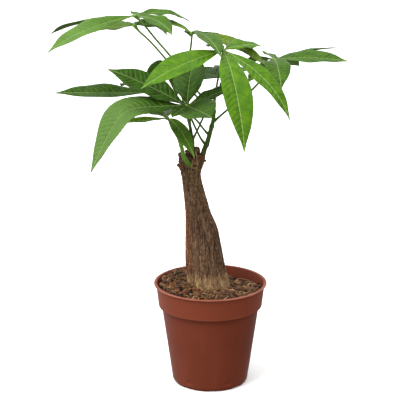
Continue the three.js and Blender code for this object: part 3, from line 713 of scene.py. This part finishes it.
def bark_at(height, angle, share, width):
    """The trunk's radius, mark and tint at a height and angle."""
    at_crown = between(222, 236, height)
    turn = angle - pi  # the ribs are counted from the left
    ridge = 0.026 * sin(5 * turn + 1.4 * share) + 0.03 * sin(9 * turn - 3 * share)
    cleft = abs(fractal(round_point(22, angle, height * 0.09) * 0.5, 0.8, 2.1, 4))
    depth = between(0.86, 0.995, 1 - cleft)
    strands = fractal(round_point(46, angle, height * 0.22), 0.7, 2, 3)
    lumps = fractal(round_point(9, angle, height * 0.05) * 0.35 + Vector((4, 0, 0)), 1, 2, 3)
    knobs = fractal(round_point(8, angle, height * 0.34), 0.8, 2.2, 4)
    scar = 0
    for level, strength in BARK_RINGS:
        gap = abs(height - level - 1.6 * sin(angle + level) - 1.2 * lumps)
        scar += strength * between(1.1, 0, gap)
    at_foot = 1 - between(116, 125, height + 6 * noise(round_point(5, angle, 8)) + 3 * strands)
    radius = width / 2 * (1 + ridge) + 0.45 + 0.5 * lumps + 0.34 * strands
    radius += 1.9 * at_crown * knobs - 0.35 * scar - 0.75 * depth * (1 - 0.4 * at_crown)
    radius += at_foot * (0.7 * abs(noise(round_point(17, angle, height * 0.06))) + 0.3 * strands)
    # crack darkens the fissures and ring scars, partly their own darker colour and partly painted shade,
    # and puts painted shade in the hollows between the crown's knobs.
    crack = max(0.85 * depth, 0.5 * scar, 0.7 * at_crown * between(0.02, -0.28, knobs))
    leftward = atan2(sin(angle), -cos(angle))
    rust = between(0.75, 0.2, abs(leftward + 0.35)) * between(112, 122, height) * between(215, 185, height)
    rust = max(rust * (0.65 + 0.5 * strands), 0.3 * at_crown * between(0, 0.3, knobs))
    straw = at_foot * (0.75 + 0.4 * strands) + 0.25 * between(0.15, 0.5, strands)
    green = between(0.75, 0.3, abs(angle - 5.05)) * between(229, 233, height) * between(246, 242, height)
    tint = (min(1, max(0, rust)), min(1, max(0, straw)), 0.6 * green)
    return radius, min(1, crack * (1 - 0.4 * at_foot)), tint


def make_trunk():
    line = bend_through([row[:3] for row in TRUNK], TRUNK_STEPS)
    shape = Shape()
    rings, marks, tints = [], [], []
    for step, middle in enumerate(line):
        width = read_table(TRUNK_WIDTHS, middle.z)
        around = turns(TRUNK_SIDES)
        radii, ring_marks, ring_tints = zip(*(
            bark_at(middle.z, angle, step / TRUNK_STEPS, width) for angle in around))
        rings.append([middle + round_point(radius, angle, 0) for radius, angle in zip(radii, around)])
        marks.append(ring_marks)
        tints.append(ring_tints)
    # The crown closes over in a rough, sunken top.
    top = rings[-1]
    middle = sum(top, Vector()) / len(top)
    for part, rise in ((0.86, 1.2), (0.68, 1.6), (0.45, 0.9), (0.2, 0.2)):
        ring = []
        for point in top:
            rough = 1.8 * fractal(point * 0.3 + Vector((0, 0, part * 7)), 0.8, 2, 3)
            ring.append(middle + (point - middle) * part + Vector((0, 0, rise + rough)))
        rings.append(ring)
        marks.append([0.55] * TRUNK_SIDES)
        tints.append([(0.1, 0.1, 0)] * TRUNK_SIDES)
    shape.add_rings(
        rings, mark=lambda row, side: marks[row][side], tint=lambda row, side: tints[row][side])
    add_stubs(shape)
    add_bark_flakes(shape)
    add_foot_fibres(shape)
    # A dry strip of bark hangs from the crown.
    strip = bend_through([
        (-15.6, -9, 255), (-14.2, -11.4, 249), (-14, -12.6, 242), (-14.8, -12.4, 237)], 24)
    shape.add_rod(strip, lambda share, angle: 0.62 - 0.3 * share + 0.2 * cos(2 * angle), 8,
                  tint=(0, 0.9, 0))
    make_piece("trunk_wood", shape, [TREE_BARK], "trunk", corner=70)


def add_stubs(shape):
    """Old shoots, cut or broken off above the crown, with dark rough ends."""
    for count, (foot, top, radius) in enumerate(CROWN_STUBS):
        foot, top = Vector(foot), Vector(top)
        line = bend_through([foot, foot.lerp(top, 0.5) + Vector((0.4, 0, 0)), top], 26)

        def place(angle, along):
            return Vector((cos(angle) * 2.4 + count * 9, sin(angle) * 2.4, along))

        def rough_radius(share, angle):
            rough = fractal(place(angle, share * 5), 0.8, 2.1, 4)
            shoulder = 1 - 0.2 * share ** 4 - (0.25 if share > 0.97 else 0)
            return radius * (shoulder + 0.3 * rough + 0.05 * sin(3 * angle + 5 * share))

        def darkness(row, side):
            pits = between(0.1, -0.3, noise(place(side * 0.35, row / 5) * 1.3)) * 0.7
            return 0.9 if row > 25 else pits

        rust = 0.8 if count in RUSTY_STUBS else 0.15
        shape.add_rod(line, rough_radius, 36, mark=darkness, tint=(rust, 0.1, 0))


def add_bark_flakes(shape):
    """Thin lifted flakes and papery scales round the crown."""
    draw = random.Random(5)
    for _ in range(BARK_FLAKES):
        height = draw.uniform(228, 250)
        angle = draw.uniform(0, tau)
        reach = read_table(TRUNK_WIDTHS, min(height, 247)) / 2 + draw.uniform(-0.4, 0.9)
        middle = Vector((-20.2 + reach * cos(angle), reach * sin(angle), height))
        out = round_point(1, angle, 0)
        side = Vector((-sin(angle), cos(angle), draw.uniform(-0.3, 0.3)))
        length, width = draw.uniform(1.6, 4.4), draw.uniform(0.8, 2)
        lift = draw.uniform(0.15, 0.7)
        shares = [step / 5 for step in range(6)]
        centres = [middle + Vector((0, 0, length * (share - 0.5))) + out * (lift * share ** 2 * 1.6)
                   for share in shares]
        halves = [width * (0.5 - 0.35 * share ** 2) + 0.1 for share in shares]
        shape.add_strip(
            centres, halves, side, out * 0.22, out * 0.15, mark=draw.uniform(0, 0.6),
            tint=(draw.uniform(0, 0.6), draw.uniform(0, 0.5), 0))


def add_foot_fibres(shape):
    """Loose straw-coloured fibres that stand off the split bark at the foot."""
    draw = random.Random(8)
    for _ in range(FOOT_FIBRES):
        angle, top, length = draw.uniform(0, tau), draw.uniform(107, 125), draw.uniform(5, 15)
        stand = draw.uniform(0.2, 2.2)
        points = []
        for step in range(4):
            share = step / 3
            height = max(102, top - length * share)
            turn = angle + draw.uniform(-0.09, 0.09)
            reach = read_table(TRUNK_WIDTHS, height) / 2 + 0.7 + stand * share ** 2
            lean = Vector((read_table(TRUNK_LEANS, height), 0, 0))
            points.append(round_point(reach, turn, height) + lean)
        thick = draw.uniform(0.18, 0.42)
        shape.add_rod(bend_through(points, 8), lambda share, angle: thick * (1.1 - 0.7 * share ** 3), 5,
                      mark=draw.uniform(0, 0.5), tint=(0.2, draw.uniform(0.5, 1), 0))


# ----- Compost -----

def soil_height(x, y):
    """Near the lip all round, heaped against the left of the trunk, hollow at the right and back."""
    hollow = 9 * exp(-((x - 33) ** 2 + (y - 36) ** 2) / 620)
    heap = 7 * exp(-((x + 28) ** 2 + (y - 14) ** 2) / 700)
    lumps = 0.9 * sin(x * 0.31 + 1) * cos(y * 0.27) + 0.6 * sin(x * 0.9 + y * 0.7)
    return 105.8 - hollow + heap + lumps


SOIL_SIDES = 128
SOIL_RINGS = 34
CHIPS = 620
CRUMBS = 1500
STRANDS = 820
# Red broken clumps at the right and in front of the trunk's left: x, y, spread, count.
CLUMPS = [(38.5, -13, 2.6, 14), (-25, -25, 4.5, 26)]
# Stray fibres that stand up round the trunk, one of them past the lip at the left.
STRAYS = [
    [(-50, 10, 108), (-57, 6, 112.5), (-60.5, 4, 116), (-58.5, 3, 120)],
    [(-40, 36, 111), (-37, 41, 114.5), (-31, 43, 115.5), (-27, 40, 111)],
    [(-24, 40, 109), (-29, 42, 114), (-35, 44, 113), (-38, 42, 109)],
    [(49, -12, 105), (50.5, -17, 110), (48, -22, 109.5), (45, -24, 105)],
    [(22, 41, 97), (31, 39, 100), (40, 34, 100.5), (46, 27, 100)],
]


def make_compost():
    shape = Shape()
    levels = [(radius - 0.5, height) for radius, height in POT_INSIDE[:3]]
    levels.insert(0, (levels[0][0] - 1.5, POT_FLOOR + 0.3))
    rings = [[round_point(radius, angle, height) for angle in turns(SOIL_SIDES)]
             for radius, height in levels]
    marks = [[0.3] * SOIL_SIDES for _ in rings]
    for step in range(SOIL_RINGS):
        share = step / (SOIL_RINGS - 1)
        radius = (wall_radius(97) - 0.7) * (1 - share) + 20 * share
        ring, ring_marks = [], []
        for angle in turns(SOIL_SIDES):
            x, y = radius * cos(angle), radius * sin(angle)
            rough = fractal(Vector((x * 0.25, y * 0.25, 3)), 0.9, 2.2, 4)
            drop = 1.2 + 3.2 * between(50, 55, radius)
            ring.append(Vector((x, y, soil_height(x, y) + 1.5 * rough - drop)))
            # Painted shade on the ground between the chips, deeper in its hollows and next to the pot's
            # wall.
            dark = 0.5 + 0.9 * between(0.1, -0.5, rough) + 0.4 * between(48, 54, radius)
            ring_marks.append(min(1, dark))
        rings.append(ring)
        marks.append(ring_marks)
    shape.add_rings(rings, mark=lambda row, side: marks[row][side], tint=0.35)
    draw = random.Random(11)
    for x, y, spread, count in CLUMPS:
        for _ in range(count):
            spot = (draw.gauss(x, spread), draw.gauss(y, spread * 0.8), draw.uniform(0, 1.3))
            add_chip(shape, draw, 4, 8.5, spot, draw.uniform(0.74, 0.86))
    for _ in range(16):  # a little heap behind the trunk
        spot = (draw.gauss(-34, 4), draw.gauss(38, 1.5), draw.uniform(0, 2))
        add_chip(shape, draw, 2, 4.5, spot, draw.random() * 0.5)
    for _ in range(CHIPS):
        add_chip(shape, draw, *draw.choice([(2, 5), (3, 7), (4, 9), (7, 13)]))
    for _ in range(CRUMBS):
        add_chip(shape, draw, 0.8, 2.6)
    make_piece("bark_compost", shape, [BARK_CHIP], "compost", corner=30)
    strands = Shape()
    for _ in range(STRANDS):
        add_strand(strands, draw)
    for count, route in enumerate(STRAYS):
        strands.add_rod(bend_through(route, 14), lambda share, angle: 0.28 - 0.13 * share, 5,
                        tint=0.2 * count + 0.15)
    make_piece("coir_strands", strands, [COIR], "compost")


def spot_on_soil(draw, reach):
    """A random place between the trunk and the pot's wall, as likely on one patch as on another."""
    inner, outer = 19.5 + reach * 0.5, 55 - reach
    radius = sqrt(draw.uniform(inner ** 2, outer ** 2))
    angle = draw.uniform(0, tau)
    return radius * cos(angle), radius * sin(angle)


def add_chip(shape, draw, shortest, longest, spot=None, tone=None):
    """One broken chip: an uneven outline, thicker in the middle, tilted as it fell. A chip with
    a chosen spot, its x, y and lift, is a thick lump of a given tone."""
    length = draw.uniform(shortest, longest)
    width = length * draw.uniform(0.25, 0.7)
    thick = min(2.4, length * draw.uniform(0.12, 0.34))
    x, y, lift = (*spot_on_soil(draw, length * 0.5), 0)
    if spot:
        x, y, lift = spot
        width, thick = length * 0.55, length * 0.26
    turn = (Matrix.Rotation(draw.uniform(0, tau), 3, "Z")
            @ Matrix.Rotation(draw.gauss(0, 0.38), 3, "X") @ Matrix.Rotation(draw.gauss(0, 0.3), 3, "Y"))
    corners = draw.choice((5, 6, 7))
    outline = []
    for corner in range(corners):
        angle = tau * (corner + draw.uniform(-0.25, 0.25)) / corners
        outline.append((cos(angle) * length / 2 * draw.uniform(0.8, 1.1),
                        sin(angle) * width / 2 * draw.uniform(0.75, 1.15)))
    middle = Vector((x, y, soil_height(x, y) + draw.uniform(-0.5, 0.9) + thick * 0.3 + lift))
    bend = draw.uniform(-0.03, 0.05)
    rings = []
    for level, part in ((-0.5, 0.78), (-0.15, 1), (0.25, 0.97), (0.5, 0.74)):
        ring = []
        for u, v in outline:
            up = level * thick + draw.uniform(-0.08, 0.08) * thick + bend * u * u
            ring.append(middle + turn @ Vector((u * part, v * part, up)))
        rings.append(ring)
    own = draw.random() ** 1.1
    tone = own if tone is None else tone
    shade = 0.35 * between(38, 52, x)  # it is darker in the shadow at the right
    dark = shade + (draw.uniform(0, 0.2) if draw.random() < 0.6 else draw.uniform(0.35, 0.6))
    # Each chip is darker or lighter at random, and painted shade lies on its underside.
    shape.add_rings(rings, mark=lambda row, side: dark + (0.35 if row == 0 else 0), tint=tone)


def add_strand(shape, draw):
    """One fibre that arches over the chips, with both ends among them."""
    length = draw.choice((draw.uniform(3, 9), draw.uniform(5, 17)))
    x, y = spot_on_soil(draw, length * 0.5)
    heading = draw.uniform(0, tau)
    ahead = round_point(1, heading, 0)
    aside = Vector((-ahead.y, ahead.x, 0))
    curl, arch = draw.uniform(-0.55, 0.55), draw.uniform(0.03, 0.24)
    points = []
    for step in range(5):
        share = step / 4 - 0.5
        bow = 1 - 4 * share * share
        point = Vector((x, y, 0)) + ahead * (share * length) + aside * (bow * curl * length)
        point.z = soil_height(point.x, point.y) + 0.4 + bow * arch * length + draw.uniform(-0.4, 0.4)
        points.append(point)
    thick = draw.uniform(0.14, 0.36)
    shape.add_rod(
        bend_through(points, 12), lambda share, angle: thick * (1.05 - 0.6 * abs(2 * share - 1) ** 3), 5,
        tint=draw.random())


# ----- Shoots -----

def make_shoot(name, facts):
    route, (foot, tip), nodes, (low, high) = facts
    shape = Shape()
    line = bend_through(route, SHOOT_STEPS)

    def radius_at(share, angle):
        plain = foot + (tip - foot) * share
        knot = max(exp(-((share - node) / 0.03) ** 2) for node in nodes)
        ring = max(exp(-((share - node - 0.035) / 0.006) ** 2) for node in nodes)
        ribs = 0.02 * sin(7 * angle + 2 * share)
        rough = 0.05 * noise(Vector((cos(angle) * 2, sin(angle) * 2, share * 30)))
        ends = 0.75 if share > 0.985 else 1
        return (plain + 0.5 * knot - 0.14 * ring) * (1 + ribs + rough) * ends

    shape.add_rod(line, radius_at, 20, mark=lambda row, side: low + (high - low) * row / SHOOT_STEPS)
    # A dry, pointed scale clasps the shoot at each node.
    draw = random.Random(len(nodes))
    for count, node in enumerate(nodes):
        at = int(node * SHOOT_STEPS)
        ahead = (line[at + 1] - line[at - 1]).normalized()
        out = Matrix.Rotation(draw.uniform(0, 6.28), 3, ahead) @ ahead.orthogonal().normalized()
        reach = foot + (tip - foot) * node + 0.45
        shares = [step / 6 for step in range(7)]
        centres = [line[at] + out * (reach + 0.5 * share ** 2) + ahead * (share * 3.4 - 0.6)
                   for share in shares]
        halves = [1.1 * (1 - share) ** 0.7 + 0.06 for share in shares]
        shape.add_strip(centres, halves, ahead.cross(out), out * 0.18, out * 0.1,
                        mark=0.08 + 0.1 * (count % 2))
    make_piece(name + "_stem", shape, [GREEN_STEM], name)
    return line


# ----- Leaves -----

def midrib_frames(hub, row, shares):
    """The point, and the ways along, right and up, at each share of a leaflet's length."""
    heading, length, _, rise, droop, bend, bank, swing, _, fold, _ = row
    roll = radians(bank)

    def ways(share):
        turn = radians(heading + swing * share)
        drooped = (1 - fold) * share ** bend + fold * between(0.35, 0.61, share)
        slope = radians(rise + (droop - rise) * drooped)
        c, s = cos(turn), sin(turn)
        along = Vector((cos(slope) * c, cos(slope) * s, sin(slope)))
        up = Vector((-sin(slope) * c, -sin(slope) * s, cos(slope)))
        right = Vector((s, -c, 0))
        c, s = cos(roll), sin(roll)
        return along, right * c + up * s, up * c - right * s

    place, before, frames = hub, 0, []
    for share in shares:
        place = place + ways((before + share) / 2)[0] * ((share - before) * length)
        before = share
        frames.append((place, *ways(share)))
    return frames


def vein_distance(along, across):
    """Shares of the spacing from the nearest side vein: 0 on it, 0.5 halfway."""
    swept = (along - 0.5 * abs(across) - 0.018 * across * across + 1.2) / SIDE_VEIN_SPACING
    return abs(swept - round(swept))


def add_leaflet(shape, hub, row, phase, tint, draw):
    length, width = row[1], row[2]
    steps = round(length / BLADE_STEP)
    shares = [step / steps for step in range(steps + 1)]
    frames = midrib_frames(hub, row, shares)
    curl = draw.uniform(0, 6.28)
    top, under = [], []
    for share, (place, _, right, up) in zip(shares, frames):
        part = max(0.02, read_table(LEAFLET_OUTLINE, share))
        reach = width / 2 * part
        near = min(0.75 / reach, 0.16)
        sides = [-1, -0.93, -0.82, -0.68, -0.52, -0.36, -0.2, -near, 0]
        sides += [-side for side in reversed(sides[:-1])]
        top_row, under_row = [], []
        for side in sides:
            wave = BLADE_WAVE * part * sin(tau * (2.6 * share + phase) + side)
            wave += 0.45 * part * side * sin(17 * share + curl)
            across = side * reach
            gap = vein_distance(share * length, across)
            inside = min(1, 4 * (1 - abs(side))) * min(1, abs(across) / 2.5)
            swell = 0.8 * inside * (1 - (1 - 2 * gap) ** 4) * part
            # The margin is scarcely toothed: it dips in where a side vein ends.
            margin = 1 - (0.02 if abs(side) == 1 else 0) * (1 - 2 * gap)
            lift = abs(side) * (BLADE_FOLD * reach + wave) + swell
            point = place + right * (side * reach * margin) + up * lift
            groove = -0.22 * (1 - share) if side == 0 else 0
            keel = -0.5 * (1 - share) ** 0.6 if side == 0 else 0
            thin = BLADE_THICKNESS / 2 * (0.45 if abs(side) == 1 else 1)
            mark = (share * length + 1.2, across, abs(side))
            # Painted sheen on the top face of the far half; the underside is marked 1 for its own paler
            # colour.
            paled = tint[2] * between(0.2, 0.6, share)
            top_row.append(shape.add_point(point + up * (thin + groove), mark, (tint[0], tint[1], paled)))
            under_row.append(shape.add_point(point + up * (keel - thin), mark, (tint[0], tint[1], 1)))
        top.append(top_row)
        under.append(under_row)
    # Each row runs over the top and back under it, so two rows and the next make closed rings.
    loops = [over + below[::-1] for over, below in zip(top, under)]
    for loop, onward in zip(loops, loops[1:]):
        for at in range(len(loop)):
            shape.add_face((loop[at - 1], loop[at], onward[at], onward[at - 1]))
    for side in range(len(sides) - 1):
        shape.add_face((under[0][side], under[0][side + 1], top[0][side + 1], top[0][side]))
        shape.add_face((top[-1][side], top[-1][side + 1], under[-1][side + 1], under[-1][side]))


def make_leaf(name, facts, shoot_lines, seed):
    shoot, joint, way, youth, leaflets = facts
    hub = Vector(way[-1])
    draw = random.Random(seed)
    shape = Shape()
    start = next(point for point in shoot_lines[shoot] if point.z >= joint)
    line = bend_through([start, *way], PETIOLE_STEPS)
    ahead = (line[-1] - line[-2]).normalized()

    def radius_at(share, angle):
        swelling = 0.5 * exp(-((share / 0.07) ** 2)) + exp(-(((1 - share) / 0.035) ** 2))
        channel = 0.05 * cos(angle * 2)
        return (PETIOLE_RADIUS + (JOINT_RADIUS - PETIOLE_RADIUS) * swelling) * (1 + channel)

    shape.add_rod(line, radius_at, 16, slot=1,
                  mark=lambda row, side: 0.35 + 0.5 * row / PETIOLE_STEPS * (0.5 + youth / 2))
    # The knob where the leaflets meet.
    knob = bend_through([hub - ahead * 1.6, hub, hub + ahead * 1.5], 10)
    shape.add_rod(knob, lambda share, angle: 0.3 + 2 * sin(pi * min(0.97, max(0.06, share))) ** 0.6,
                  18, slot=1, mark=0.85)
    for index, row in enumerate(leaflets):
        row += (0,) * (LEAFLET_NUMBERS - len(row))
        shade = min(1, max(0, youth + draw.uniform(-0.1, 0.1)))
        add_leaflet(shape, hub, row, 0.37 * index, (shade, row[8], row[10]), draw)
    make_piece(name + "_green", shape, [LEAF_BLADE, GREEN_STEM], name, corner=60)


# ----- Camera, light and floor -----

def place_camera():
    lens = bpy.data.cameras.new("camera")
    lens.sensor_width = 36
    lens.lens = 133.8
    camera = put_in_scene("camera", lens)
    camera.location = (-0.011, -1.5, 0.626)
    camera.rotation_euler = (radians(90 - 15.84), 0, 0)
    bpy.context.scene.camera = camera


def set_stage():
    look = Surface("matt_white_paper")
    fibres = look.add("TexNoise", {"Scale": 900})
    tone = colour_steps(look.add("ValToRGB", fibres), [(0.3, "#fafafa"), (0.7, "#fefefe")])
    paper = look.finish({"Base Color": tone, "Roughness": 0.9})
    sweep = Shape()
    corners = ((-9000, -9000), (9000, -9000), (9000, 14000), (-9000, 14000))
    sweep.add_face([sweep.add_point(Vector((x, y, 0))) for x, y in corners])
    floor = sweep.as_object("floor", [paper])
    # The sweep is lit but throws no light back up, as a flagged studio table.
    floor.visible_diffuse = False
    floor.visible_glossy = False
    # A soft tent: brighter above and on the left, darker below.
    tent = Surface("light_tent", bpy.data.worlds)
    way = tent.add("TexCoord").outputs["Generated"]
    slope = tent.add("VectorMath", way, (-0.26, 0, 0.72), operation="DOT_PRODUCT")
    level = tent.add("Math", slope.outputs["Value"], 0.88, operation="ADD")
    bpy.context.scene.world = tent.finish(
        {"Color": linear("#ffffff"), "Strength": level}, shader="Background", output="OutputWorld")
    for name, energy, size, way in (
            ("key", 2.4, 40, (-0.5, -0.4, 0.77)), ("fill", 0.45, 60, (0.6, -0.6, 0.5))):
        lamp = bpy.data.lights.new(name, "SUN")
        lamp.energy = energy
        lamp.angle = radians(size)
        light = put_in_scene(name, lamp)
        light.rotation_euler = Vector(way).to_track_quat("Z", "Y").to_euler()
    bpy.context.scene.view_settings.view_transform = "Standard"


place_camera()
set_stage()
make_pot()
make_compost()
make_trunk()
shoot_lines = {name: make_shoot(name, facts) for name, facts in SHOOTS.items()}
for seed, (name, facts) in enumerate(LEAVES.items()):
    make_leaf(name, facts, shoot_lines, seed)
